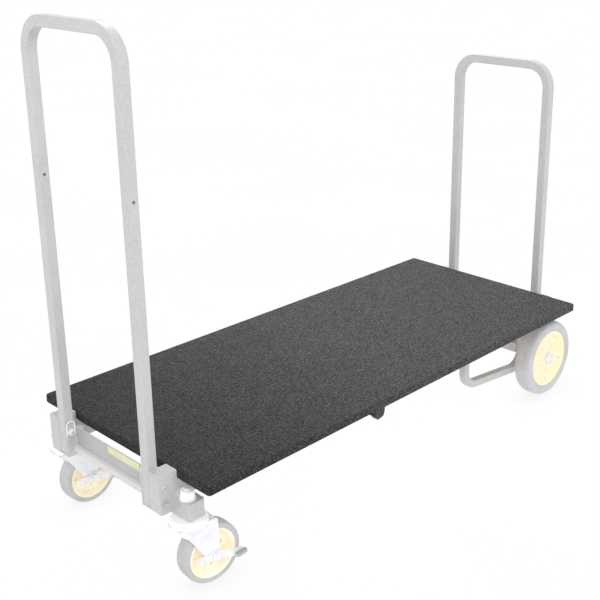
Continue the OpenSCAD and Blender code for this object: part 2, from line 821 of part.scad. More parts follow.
// side brake lever on the axle bolt, with a rivet at its front end
module brake_lever() {
  rivet_x = trail - 34;
  rivet_z = caster_radius + 1;
  // [x, z]
  outline = concat(
    arc(rivet_x, rivet_z, 7.5, 90, 270, 10),
    arc(trail, caster_radius, 11, 215, 300, 6),
    [[trail + 38, caster_radius - 19]],
    arc(trail + 58, caster_radius - 14.5, 7, 290, 430, 8),
    [[trail + 36, caster_radius - 2]],
    arc(trail, caster_radius, 11, 55, 145, 6));
  color(zinc_color) difference() {
    union() {
      xz_plate(lever_y, lever_y + lever_thickness) polygon(outline);
      y_cyl(4.2, lever_y + 2.9, lever_y + 4.8, rivet_x, rivet_z);
    }
    y_cyl(caster_axle_radius + 0.06, 15, 35, trail, caster_radius);
  }
}

// round-ended foot pedal on the lever's rear end, grooved across the top
module brake_pedal() {
  pedal_radius = 5;
  ends = [5, 20];
  height = 6.4;
  color(plastic_color)
    translate([trail + 44, lever_y + lever_thickness + 0.02, caster_radius - 21])
    rotate([0, -9, 0]) difference() {
      union() {
        translate([ends[0], 0, 1]) cube([ends[1] - ends[0], 2 * pedal_radius, height]);
        for (x = ends) translate([x, pedal_radius, 1]) cylinder(r = pedal_radius, h = height);
      }
      for (i = [0:3]) translate([4.3 + i * 4.6, 1.6, 6.7]) cube([1.8, 6.8, 1]);
    }
}

module caster_fork_near() { near_caster() fork(); }
module caster_axle_near() { near_caster() caster_axle(); }
module caster_tyre_near() { near_caster() caster_tyre(); }
module caster_hub_near() { near_caster() caster_hub(); }
module brake_lever_near() { near_caster() brake_lever(); }
module brake_pedal_near() { near_caster() brake_pedal(); }
module caster_fork_far() { far_caster() fork(); }
module caster_axle_far() { far_caster() caster_axle(); }
module caster_tyre_far() { far_caster() caster_tyre(); }
module caster_hub_far() { far_caster() caster_hub(); }
module brake_lever_far() { far_caster() brake_lever(); }
module brake_pedal_far() { far_caster() brake_pedal(); }

// ---- deck ----
// slab with the deck's plan shrunk by inset on every side
module deck_slab(inset, radius, z, height) {
  translate([deck_x, 0, z]) linear_extrude(height)
    polygon(rounded_rect(deck_length - 2 * inset, deck_width - 2 * inset, radius, 6));
}

module deck_board() {
  color(wood_color) difference() {
    deck_slab(carpet_thickness + 0.2, deck_radius - carpet_thickness,
      deck_bottom, board_thickness - 0.2);
    // screw holes for the battens
    sides() for (start = batten_starts, inset = screw_insets)
      translate([start + inset, screw_y, deck_bottom - 1])
        cylinder(r = screw_radius, h = board_thickness + 2);
  }
}

// covers the board's top and edges
module deck_carpet() {
  color(carpet_color) difference() {
    deck_slab(0, deck_radius, deck_bottom + 0.2, deck_top - deck_bottom - 0.2);
    deck_slab(carpet_thickness, deck_radius - carpet_thickness + 0.2,
      deck_bottom - 1, board_thickness + 1);
  }
}

module deck_battens() {
  color(wood_color) sides() for (start = batten_starts) difference() {
    translate([start, batten_y, deck_bottom - batten_size.z - 0.1]) cube(batten_size);
    for (inset = screw_insets) translate([start + inset, screw_y, deck_bottom - 14])
      cylinder(r = screw_radius, h = 20);
  }
}

outer_rails();
front_cross_member();
rail_centre_brace();
front_corner_brackets();
front_bracket_caps();
caster_outriggers();
rail_guide_bushes();
clamp_bosses();
front_pivot_bolts();
front_pivot_nuts();
caster_top_races();
caster_stem_bolts();
caster_stem_nuts();
front_handle();
front_leg_plugs();
front_clip_springs();
front_lock_pin_near();
front_lock_pin_far();
rear_lock_pin_near();
rear_lock_pin_far();
clamp_knob_near();
clamp_knob_far();
clamp_stud_near();
clamp_stud_far();
inner_rails();
rear_cross_member();
lower_cross_tube();
rear_corner_brackets();
rear_bracket_caps();
skid_loops();
axle_plates();
rear_axle();
rear_axle_nuts();
rear_pivot_bolts();
rear_pivot_nuts();
inner_rail_glides();
rear_handle();
rear_leg_plugs();
rear_clip_springs();
rear_tyre_near();
rear_hub_near();
rear_bearings_near();
rear_tyre_far();
rear_hub_far();
rear_bearings_far();
caster_fork_near();
caster_axle_near();
caster_tyre_near();
caster_hub_near();
brake_lever_near();
brake_pedal_near();
caster_fork_far();
caster_axle_far();
caster_tyre_far();
caster_hub_far();
brake_lever_far();
brake_pedal_far();
deck_board();
deck_carpet();
deck_battens();
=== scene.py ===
"""A platform cart with a carpeted deck on a front base and a rear base.

The deck is long in X and wide in Y, and the floor is at z = 0. The caster end is the front and
faces -X. Everything is in metres. The script gives the CAD pieces their materials, replaces the
deck's carpet with a detailed one, and adds weld beads, a blank label, screws and staples.
"""
import json
import math

import bmesh
import bpy
import numpy as np
from mathutils import Matrix, Vector, noise


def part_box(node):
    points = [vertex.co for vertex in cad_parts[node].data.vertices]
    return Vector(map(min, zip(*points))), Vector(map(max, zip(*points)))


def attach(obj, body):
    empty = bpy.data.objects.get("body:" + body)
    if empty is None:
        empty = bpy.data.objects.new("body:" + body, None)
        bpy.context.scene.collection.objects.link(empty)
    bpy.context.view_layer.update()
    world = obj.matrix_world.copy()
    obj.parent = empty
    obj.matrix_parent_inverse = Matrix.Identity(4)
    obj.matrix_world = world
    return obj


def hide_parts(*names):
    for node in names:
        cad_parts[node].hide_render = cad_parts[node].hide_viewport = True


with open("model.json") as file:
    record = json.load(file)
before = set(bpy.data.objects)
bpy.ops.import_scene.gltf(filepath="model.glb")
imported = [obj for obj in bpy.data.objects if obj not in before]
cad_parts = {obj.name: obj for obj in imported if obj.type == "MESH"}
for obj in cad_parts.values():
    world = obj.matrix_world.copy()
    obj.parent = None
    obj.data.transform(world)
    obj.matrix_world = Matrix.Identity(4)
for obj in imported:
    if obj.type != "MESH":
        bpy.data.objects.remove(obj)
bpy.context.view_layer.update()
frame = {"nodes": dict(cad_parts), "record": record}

scene = bpy.context.scene

HEM_DROP = 0.0021  # how far the turned-under carpet hangs below the board


# ------------------------------------------------------------------ shader helpers
def srgb(rgb, add=(0, 0, 0)):
    """Linear RGBA of an 8-bit sRGB colour, after shifting its channels by add."""
    def linear(channel):
        value = min(255, max(0, channel)) / 255
        return value / 12.92 if value <= 0.04045 else ((value + 0.055) / 1.055) ** 2.4
    return (*(linear(channel + step) for channel, step in zip(rgb, add)), 1.0)


def feed(tree, socket, value):
    """Link value to the socket if it is an output, otherwise store it there."""
    if hasattr(value, "is_output"):
        tree.links.new(value, socket)
    else:
        socket.default_value = value


class Mat:
    """A material whose colour is built up in layers. Masks and heights are output sockets."""

    def __init__(self, name, color=(255, 255, 255), add=(0, 0, 0)):
        self.material = bpy.data.materials.new(name)
        self.material.use_nodes = True
        self.tree = self.material.node_tree
        self.tree.nodes.clear()
        self.output = self.node("OutputMaterial")
        self.shader = self.node("BsdfPrincipled")
        self.tree.links.new(self.shader.outputs[0], self.output.inputs["Surface"])
        self.coords = self.node("TexCoord").outputs["Object"]
        self.color = srgb(color, add)

    def node(self, kind, **inputs):
        node = self.tree.nodes.new("ShaderNode" + kind)
        self.fill(node, **inputs)
        return node

    def fill(self, node, **inputs):
        """Feed inputs by name, with underscores for spaces."""
        for key, value in inputs.items():
            feed(self.tree, node.inputs[key.replace("_", " ")], value)

    def finish(self, **inputs):
        """Feed the colour layers and the other inputs to the surface shader."""
        self.fill(self.shader, Base_Color=self.color, **inputs)
        return self.material

    def layer(self, color, mask, add=(0, 0, 0)):
        """Lay a colour over the ones so far, where the mask is 1."""
        self.color = self.mix(mask, self.color, srgb(color, add))

    # coordinates and textures
    def scaled(self, scale, rotation=(0, 0, 0), location=(0, 0, 0)):
        return self.node("Mapping", Vector=self.coords, Scale=scale, Rotation=rotation,
                         Location=location).outputs[0]

    def noise(self, scale, detail=3.0, rough=0.55, warp=0.0, coords=None):
        return self.node("TexNoise", Vector=coords or self.coords, Scale=scale, Detail=detail,
                         Roughness=rough, Distortion=warp).outputs[0]

    def voronoi(self, scale, smooth=None, coords=None, out="Distance"):
        node = self.node("TexVoronoi", Vector=coords or self.coords, Scale=scale)
        if smooth is not None:
            node.feature = "SMOOTH_F1"
            self.fill(node, Smoothness=smooth)
        return node.outputs[out]

    def wave(self, scale, coords, warp=0.0, detail=0.0):
        """Bands that follow one another along Y."""
        node = self.node("TexWave", Vector=coords, Scale=scale, Distortion=warp, Detail=detail)
        node.bands_direction = "Y"
        return node.outputs["Fac"]

    # arithmetic
    def math(self, operation, first, second=0.0):
        node = self.node("Math")
        node.operation = operation
        feed(self.tree, node.inputs[0], first)
        feed(self.tree, node.inputs[1], second)
        return node.outputs[0]

    def times(self, value, amount):
        return self.math("MULTIPLY", value, amount)

    def plus(self, first, second):
        return self.math("ADD", first, second)

    def ramp(self, value, span, to=(0.0, 1.0), smooth=True):
        """Map the span of value onto the range to."""
        node = self.node("MapRange", Value=value, From_Min=span[0], From_Max=span[1],
                         To_Min=to[0], To_Max=to[1])
        node.interpolation_type = "SMOOTHSTEP" if smooth else "LINEAR"
        return node.outputs[0]

    def patches(self, span, to=(0.0, 1.0), **texture):
        """Noise patches, cut out at the span and scaled to the range to."""
        return self.ramp(self.noise(**texture), span, to)

    def mix(self, mask, first, second):
        node = self.node("Mix")
        node.data_type = "RGBA"
        for index, value in ((0, mask), (6, first), (7, second)):
            feed(self.tree, node.inputs[index], value)
        return node.outputs[2]

    def blend(self, mask, first, second):
        """Like mix, for single numbers."""
        node = self.node("Mix")
        node.data_type = "FLOAT"
        for index, value in ((0, mask), (2, first), (3, second)):
            feed(self.tree, node.inputs[index], value)
        return node.outputs[0]

    # shape of the surface
    def bevel(self, radius):
        node = self.node("Bevel", Radius=radius)
        node.samples = 6
        return node.outputs[0]

    def edges(self, bevel_normal, span):
        """1 on outer edges and 0 on flats, from how far the rounded normal leans off the face."""
        dot = self.node("VectorMath")
        dot.operation = "DOT_PRODUCT"
        feed(self.tree, dot.inputs[0], bevel_normal)
        feed(self.tree, dot.inputs[1], self.node("NewGeometry").outputs["True Normal"])
        return self.ramp(self.math("SUBTRACT", 1.0, dot.outputs["Value"]), span)

    def bump(self, height, strength, distance, **normal):
        return self.node("Bump", Strength=strength, Distance=distance, Height=height,
                         **normal).outputs[0]

    def ao(self, distance, samples=4):
        node = self.node("AmbientOcclusion", Distance=distance)
        node.samples = samples
        return node.outputs["AO"]

    def corners(self, ao, span, amount):
        """A mask of the corners and hollows, for painting shade there."""
        return self.times(self.ramp(ao, span, to=(1.0, 0.0)), amount)

    def height(self):
        position = self.node("NewGeometry").outputs["Position"]
        return self.node("SeparateXYZ", Vector=position).outputs["Z"]


# ------------------------------------------------------------------ materials
def hammertone(name, base=(199, 199, 198), dark=(189, 189, 189), chip=(166, 166, 166), painted_highlight_below=None):
    """Hammered enamel: dimpled paint, painted shade in the corners, painted highlights and small
    chips on the edges.
    """
    mat = Mat(name, dark)
    bevel = mat.bevel(radius=0.0011)
    edge = mat.edges(bevel, span=(0.02, 0.3))
    mat.layer(base, mat.patches(span=(0.36, 0.64), scale=420, rough=0.7))
    pocks = mat.patches(span=(0.40, 0.62), to=(0.0, 0.55), scale=260, rough=0.6, warp=0.8)
    mat.layer(base, pocks, add=(14, 14, 14))
    # painted highlight: the edges are painted lighter
    mat.layer(base, mat.times(edge, amount=0.45), add=(28, 28, 28))
    blotches = mat.patches(span=(0.35, 0.7), to=(0.0, 0.25), scale=9.0, detail=4.0, rough=0.6)
    mat.layer((220, 220, 219), blotches)
    flakes = mat.patches(span=(0.66, 0.74), to=(0.0, 0.5), scale=1500, detail=1.0)
    mat.layer((240, 240, 240), flakes)
    ao = mat.ao(distance=0.02)
    # painted shade: corners and hollows are painted darker, in noise patches
    dust = mat.patches(span=(0.3, 0.7), to=(0.15, 0.5), scale=60, detail=4.0)
    mat.layer((160, 160, 158), mat.corners(ao, span=(0.2, 0.75), amount=dust))
    worn = mat.times(edge, mat.patches(span=(0.55, 0.66), scale=140, detail=4.0, rough=0.7))
    mat.layer(chip, mat.times(worn, amount=0.55))
    if painted_highlight_below:
        # the rolled edge below this height is painted paler than the plate, a painted highlight
        pale = mat.ramp(mat.height(), span=(painted_highlight_below - 0.001, painted_highlight_below + 0.001), to=(0.85, 0.0))
        mat.layer((226, 226, 225), pale)
    dimples = mat.times(mat.voronoi(scale=330, smooth=0.45), amount=1.0)
    relief = mat.plus(dimples, mat.times(mat.noise(scale=900, detail=2.0), amount=0.15))
    return mat.finish(
        Roughness=mat.blend(mat.patches(span=(0.3, 0.7), scale=35), 0.34, 0.5),
        Metallic=0.0, Specular_IOR_Level=0.35, Coat_Weight=0.3, Coat_Roughness=0.18,
        Normal=mat.bump(relief, strength=0.45, distance=0.0006, Normal=bevel),
        # painted glow: emission in the dark grey, strongest in hollows and holes, lifts them to
        # soft grey
        Emission_Color=srgb(dark),
        Emission_Strength=mat.ramp(ao, span=(0.0, 0.55), to=(0.62, 0.03)))


def zinc(name, base=(250, 250, 251), rough=0.36, glow=0.10):
    """Zinc plate: faint mottling, fine scratches, darker in the corners."""
    mat = Mat(name, base)
    clouds = mat.patches(span=(0.3, 0.7), scale=45, detail=4.0, rough=0.65)
    mat.layer(base, clouds, add=(-16, -15, -10))
    spangle = mat.node("SeparateColor", Color=mat.voronoi(scale=160, out="Color")).outputs[0]
    mat.layer((214, 217, 224), mat.times(spangle, amount=0.12))
    # painted shade: corners and hollows are painted darker
    mat.layer((176, 176, 179), mat.corners(mat.ao(0.008), span=(0.15, 0.7), amount=0.35))
    streaks = mat.scaled((1, 9, 60), rotation=(0.3, 0.2, 0.5))
    scratch = mat.noise(scale=60, detail=2.0, rough=0.5, coords=streaks)
    relief = mat.plus(mat.times(scratch, amount=0.4), mat.noise(scale=700, detail=2.0))
    return mat.finish(
        # painted glow: emission in the zinc's own colour, as strong as glow, brightens it
        Metallic=0.18, Emission_Color=mat.color, Emission_Strength=glow,
        Roughness=mat.blend(mat.ramp(scratch, span=(0.48, 0.62)), rough - 0.05, rough + 0.12),
        Normal=mat.bump(relief, strength=0.12, distance=0.0003, Normal=mat.bevel(0.0006)))


def rubber(name, base=(206, 206, 206)):
    """Grey rubber with a bloom of dust, fine moulding lines round the tread and scuffs."""
    mat = Mat(name, base)
    fine = mat.noise(scale=520, rough=0.6)
    clouds = mat.patches(span=(0.3, 0.72), scale=26, detail=5.0, rough=0.65)
    mat.layer(base, clouds, add=(-16, -16, -15))
    mat.layer(base, mat.ramp(fine, span=(0.42, 0.75), to=(0.0, 0.35)), add=(-34, -34, -33))
    scuff = mat.patches(span=(0.60, 0.68), to=(0.0, 0.5), scale=95, detail=5.0, rough=0.75,
                        coords=mat.scaled((1, 0.35, 1)))
    mat.layer((218, 217, 213), scuff)
    # painted shade: corners and hollows are painted darker
    mat.layer((120, 119, 116), mat.corners(mat.ao(0.006), span=(0.2, 0.8), amount=0.5))
    # the lines follow one another along Y, the axle's direction; the power narrows them
    lines = mat.math("POWER", mat.wave(scale=150, coords=mat.scaled((0, 1, 0))), 6.0)
    relief = mat.plus(mat.times(fine, amount=0.5), mat.times(lines, amount=0.35))
    return mat.finish(
        # painted glow: a faint bluish-grey emission brightens the rubber
        Emission_Color=srgb((196, 198, 206)), Emission_Strength=0.11, Specular_IOR_Level=0.4,
        Roughness=mat.blend(scuff, 0.62, 0.8),
        Normal=mat.bump(relief, strength=0.3, distance=0.0006, Normal=mat.bevel(0.0008)))


def hub_plastic(name, base=(252, 240, 208), deep=(250, 228, 180)):
    """Moulded nylon hub: slight flow marks, shaded recesses, dust."""
    mat = Mat(name, base)
    flow = mat.noise(scale=30, rough=0.6, warp=0.6)
    mat.layer(base, mat.ramp(flow, span=(0.35, 0.7)), add=(0, -4, -12))
    mat.layer(deep, mat.corners(mat.ao(0.016), span=(0.35, 0.95), amount=0.7))
    spots = mat.patches(span=(0.62, 0.72), scale=230, detail=4.0, rough=0.7)
    mat.layer((226, 214, 178), mat.times(spots, amount=0.2))
    grain = mat.noise(scale=600, detail=2.0)
    return mat.finish(
        # painted glow: emission in the hub's own colour brightens it
        Emission_Color=mat.color, Emission_Strength=0.11,
        Roughness=mat.blend(flow, 0.33, 0.5),
        Subsurface_Weight=0.05, Subsurface_Radius=(0.004, 0.003, 0.001),
        Normal=mat.bump(grain, strength=0.08, distance=0.0003, Normal=mat.bevel(0.0009)))


def plastic(name, base=(196, 196, 196), rough=0.5, light=(212, 212, 212), edge_highlight=0.5, edge_radius=0.0007):
    """Spark-eroded moulding texture; edges of the given rounding radius are shinier and painted
    lighter, a painted highlight.
    """
    mat = Mat(name, base, add=(-14, -14, -14))
    bevel = mat.bevel(edge_radius)
    edge = mat.edges(bevel, span=(0.03, 0.35))
    mat.layer(base, mat.patches(span=(0.3, 0.7), scale=55))
    # painted highlight: the rounded edges are painted lighter towards the light colour
    mat.layer(light, mat.times(edge, amount=edge_highlight))
    # painted shade: corners and hollows are painted darker
    shade_color = [int(channel * 0.72) for channel in base]
    mat.layer(shade_color, mat.corners(mat.ao(0.006), span=(0.2, 0.8), amount=0.5))
    grain = mat.noise(scale=1300, detail=2.0)
    return mat.finish(
        Roughness=mat.blend(edge, rough, rough - 0.15),
        Normal=mat.bump(grain, strength=0.22, distance=0.0003, Normal=bevel))


def plywood(name):
    """Sanded plywood: long grain in X, with rings and knots."""
    mat = Mat(name, (206, 186, 154))
    grain = mat.noise(scale=7, detail=6.0, rough=0.62, warp=1.2,
                      coords=mat.scaled((1.2, 22, 22)))
    mat.layer((184, 160, 126), mat.ramp(grain, span=(0.3, 0.7)))
    rings = mat.wave(scale=1.6, coords=mat.scaled((0.25, 3.0, 3.0)), warp=9.0, detail=3.0)
    mat.layer((158, 130, 96), mat.times(mat.ramp(rings, span=(0.55, 0.95)), amount=0.4))
    knots = mat.voronoi(scale=5.5, coords=mat.scaled((0.45, 1.5, 1)))
    mat.layer((112, 84, 58), mat.ramp(knots, span=(0.03, 0.07), to=(0.75, 0.0)))
    return mat.finish(
        Roughness=mat.blend(grain, 0.55, 0.75),
        Normal=mat.bump(grain, strength=0.25, distance=0.0005, Normal=mat.bevel(0.001)))


def carpet(name):
    """Heathered needle-punch carpet: charcoal felt, paler and darker fibres lying every way."""
    mat = Mat(name, (40, 40, 42))

    def fibres(angle, scale, width, seed):
        coords = mat.scaled((scale, scale * 0.16, scale * 0.5), rotation=(0, 0, angle),
                            location=(seed, seed * 0.7, 0))
        strands = mat.noise(scale=1.0, detail=2.0, rough=0.5, warp=0.35, coords=coords)
        middle = mat.math("ABSOLUTE", mat.math("SUBTRACT", strands, 0.5))
        return mat.ramp(middle, span=(width, 0.0))

    tuft = mat.noise(scale=210, rough=0.62)
    area = mat.noise(scale=14, detail=4.0, rough=0.6)
    speck = mat.noise(scale=235, detail=2.0, rough=0.6)
    pale = mat.math("MAXIMUM", fibres(angle=0.3, scale=900, width=0.035, seed=3.1),
                    fibres(angle=2.5, scale=1000, width=0.035, seed=11.9))
    dark = mat.math("MAXIMUM", fibres(angle=1.5, scale=800, width=0.035, seed=7.7),
                    fibres(angle=0.95, scale=700, width=0.03, seed=17.3))
    mat.layer((82, 82, 84), mat.ramp(tuft, span=(0.34, 0.66)))
    clumps = mat.patches(span=(0.52, 0.66), to=(0.0, 0.75), scale=120, detail=4.0, rough=0.7)
    mat.layer((30, 30, 32), clumps)
    mat.layer((140, 140, 142), mat.times(pale, amount=0.5))
    mat.layer((38, 38, 40), mat.times(dark, amount=0.40))
    mottling = mat.patches(span=(0.42, 0.72), to=(0.0, 0.30), scale=75, rough=0.65)
    mat.layer((118, 118, 120), mottling)
    mat.layer((128, 128, 131), mat.ramp(speck, span=(0.54, 0.66), to=(0.0, 0.75)))
    mat.layer((34, 34, 36), mat.ramp(speck, span=(0.46, 0.36), to=(0.0, 0.75)))
    mat.layer((100, 100, 102), mat.ramp(area, span=(0.3, 0.7), to=(0.0, 0.12)))

    # painted shade: the caster end is painted darker, lightening towards the far end
    along = mat.node("SeparateXYZ", Vector=mat.coords).outputs["X"]
    painted_light_share = mat.ramp(mat.plus(along, mat.times(area, amount=0.08)), span=(-0.62, 0.06),
                   to=(0.44, 1.0), smooth=False)
    darkest, lightest = 0.40, 1.0
    painted_light_share = mat.math("MINIMUM", mat.math("MAXIMUM", painted_light_share, darkest), lightest)
    mat.color = mat.mix(painted_light_share, srgb((8, 8, 9)), mat.color)
    lint = mat.patches(span=(0.73, 0.77), to=(0.0, 0.5), scale=330, detail=1.0)
    mat.layer((176, 176, 174), lint)

    relief = mat.plus(mat.times(tuft, amount=0.8),
                      mat.times(mat.plus(pale, dark), amount=0.25))
    relief = mat.plus(relief, mat.times(mat.noise(scale=1400, detail=2.0), amount=0.3))
    return mat.finish(
        Roughness=0.96, Specular_IOR_Level=0.12,
        Sheen_Weight=0.10, Sheen_Roughness=0.4, Sheen_Tint=srgb((190, 190, 194)),
        Normal=mat.bump(relief, strength=0.8, distance=0.0012))


def sticker(name, base=(235, 234, 203)):
    """Plain vinyl with no print: dulled, slightly crinkled."""
    mat = Mat(name, base)
    mat.layer(base, mat.patches(span=(0.3, 0.7), scale=40, detail=4.0), add=(-10, -14, -26))
    dirt = mat.patches(span=(0.58, 0.72), to=(0.0, 0.35), scale=150, detail=5.0, rough=0.7)
    mat.layer((214, 208, 168), dirt)
    return mat.finish(
        Roughness=0.38, Normal=mat.bump(mat.noise(scale=180), strength=0.12, distance=0.0004))


SLOT_MATERIALS = {
    "frame": hammertone("hammertone_enamel"),
    "zinc": zinc("bright_zinc"),
    "plastic": plastic("moulded_plastic"),
    "tyre": rubber("grey_rubber"),
    "hub": hub_plastic("moulded_hub"),
    "board": plywood("plywood"),
    "carpet": carpet("heather_carpet"),
}
# pieces whose material differs from their slot's
OWN_MATERIALS = (
    (("clamp_knob_near", "clamp_knob_far"),
     plastic("knob_plastic", base=(64, 64, 63), rough=0.48, light=(120, 120, 118))),
    (("deck_battens",), plywood("batten_wood")),
    # painted highlight: the caps' edges and rib tops are painted white
    (("front_bracket_caps", "rear_bracket_caps"),
     plastic("cap_plastic", base=(211, 211, 211), light=(255, 255, 255), edge_highlight=1.0, edge_radius=0.0012)),
    # painted shade: a darker copy of the enamel for the plate under the deck, with a painted
    # highlight on its rolled edge
    (("front_cross_member",),
     hammertone("plate_enamel_painted_shade", base=(176, 176, 175), dark=(166, 166, 165),
                chip=(150, 150, 150), painted_highlight_below=0.190)),
    # painted glow: a brighter-glowing copy of the zinc for the stem nuts and top races
    (("caster_stem_nuts", "caster_top_races"),
     zinc("zinc_painted_glow", base=(252, 252, 253), rough=0.3, glow=0.24)),
    (("caster_tyre_near", "caster_tyre_far"), rubber("caster_rubber", base=(199, 199, 199))),
    (("caster_hub_near", "caster_hub_far"),
     hub_plastic("caster_hub_plastic", base=(252, 245, 225), deep=(251, 235, 200))),
    (("front_pivot_bolts", "rear_pivot_bolts"),
     zinc("dulled_zinc", base=(214, 214, 215), rough=0.3, glow=0.02)),
)


def assign_materials():
    own = {piece: material for pieces, material in OWN_MATERIALS for piece in pieces}
    slots = {part["node"]: part["material_slot"] for part in frame["record"]["subparts"]}
    for name, piece in frame["nodes"].items():
        piece.data.materials.clear()
        piece.data.materials.append(own.get(name, SLOT_MATERIALS[slots[name]]))
        for polygon in piece.data.polygons:
            polygon.material_index = 0


assign_materials()


# ------------------------------------------------------------------ mesh helpers
def add_piece(name, verts, faces, material, body):
    """Add a smooth-shaded mesh that moves with the body."""
    mesh = bpy.data.meshes.new(name)
    mesh.from_pydata([tuple(vert) for vert in verts], [], faces)
    mesh.validate()
    bm = bmesh.new()
    bm.from_mesh(mesh)
    bmesh.ops.recalc_face_normals(bm, faces=bm.faces)
    bm.to_mesh(mesh)
    bm.free()
    piece = bpy.data.objects.new(name, mesh)
    scene.collection.objects.link(piece)
    mesh.materials.append(material)
    for polygon in mesh.polygons:
        polygon.use_smooth = True
    bpy.context.view_layer.update()
    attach(piece, body)
    return piece


def fbm(point, scale, octaves, seed):
    """Smooth value noise in about -1..1."""
    x, y, z = (scale * value for value in point)
    return noise.fractal(Vector((x + seed, y + seed * 1.7, z - seed)), 1.0, 2.0, octaves)


def clamp(value):
    return min(1.0, max(0.0, value))


def rounded(x, y, half_x, half_y, radius):
    """Move a point of a rectangle so that the rectangle's corners become arcs."""
    arc_x, arc_y = half_x - radius, half_y - radius
    over_x, over_y = abs(x) - arc_x, abs(y) - arc_y
    if over_x > 1e-12 and over_y > 1e-12:
        pull = max(over_x, over_y) / math.hypot(over_x, over_y)
        over_x, over_y = over_x * pull, over_y * pull
    return (math.copysign(arc_x + over_x, x) if abs(x) > arc_x else x,
            math.copysign(arc_y + over_y, y) if abs(y) > arc_y else y)


def grid_faces(columns, rows, base=0):
    """Quads of a grid whose vertices are numbered row by row from base."""
    starts = [base + j * (columns + 1) + i for j in range(rows) for i in range(columns)]
    return [(q, q + 1, q + columns + 2, q + columns + 1) for q in starts]


def grid_border(columns, rows):
    """(column, row) of the border vertices, anticlockwise."""
    return ([(i, 0) for i in range(columns)] + [(columns, j) for j in range(rows)]
            + [(i, rows) for i in range(columns, 0, -1)] + [(0, j) for j in range(rows, 0, -1)])


def join_rings(first, second):
    """Faces between two closed rings of vertex numbers; a ring may be a single point."""
    faces = []
    for q in range(max(len(first), len(second))):
        quad = (first[q % len(first)], first[(q + 1) % len(first)],
                second[(q + 1) % len(second)], second[q % len(second)])
        faces.append(tuple(dict.fromkeys(quad)))
    return faces


def add_rings(verts, faces, rings):
    """Append rings of points, joined in order, and return their vertex numbers."""
    numbered = []
    for ring in rings:
        numbered.append(list(range(len(verts), len(verts) + len(ring))))
        verts.extend(ring)
    for first, second in zip(numbered, numbered[1:]):
        faces.extend(join_rings(first, second))
    return numbered


def add_capped_tube(verts, faces, rings):
    numbered = add_rings(verts, faces, rings)
    faces.append(tuple(numbered[0]))
    faces.append(tuple(reversed(numbered[-1])))


# ------------------------------------------------------------------ the deck's carpet
CORNER_RADIUS = 0.007  # in plan
LEAST_CORNER = 0.0012  # corner radius of the innermost outlines
TOP_RADIUS = 0.0044    # roll over the top edge
HEM_RADIUS = 0.0035    # roll under the bottom edge
CARPET_STEP = 0.0034
ROLL_STEPS = 4
HEM_INSETS = (0.0045, 0.010, 0.018, 0.028, 0.038, 0.0425)
RAIL_Y = 0.1685        # middle of the rails under the deck, either side of y = 0
FADE = 0.008           # length over which the hem thins out


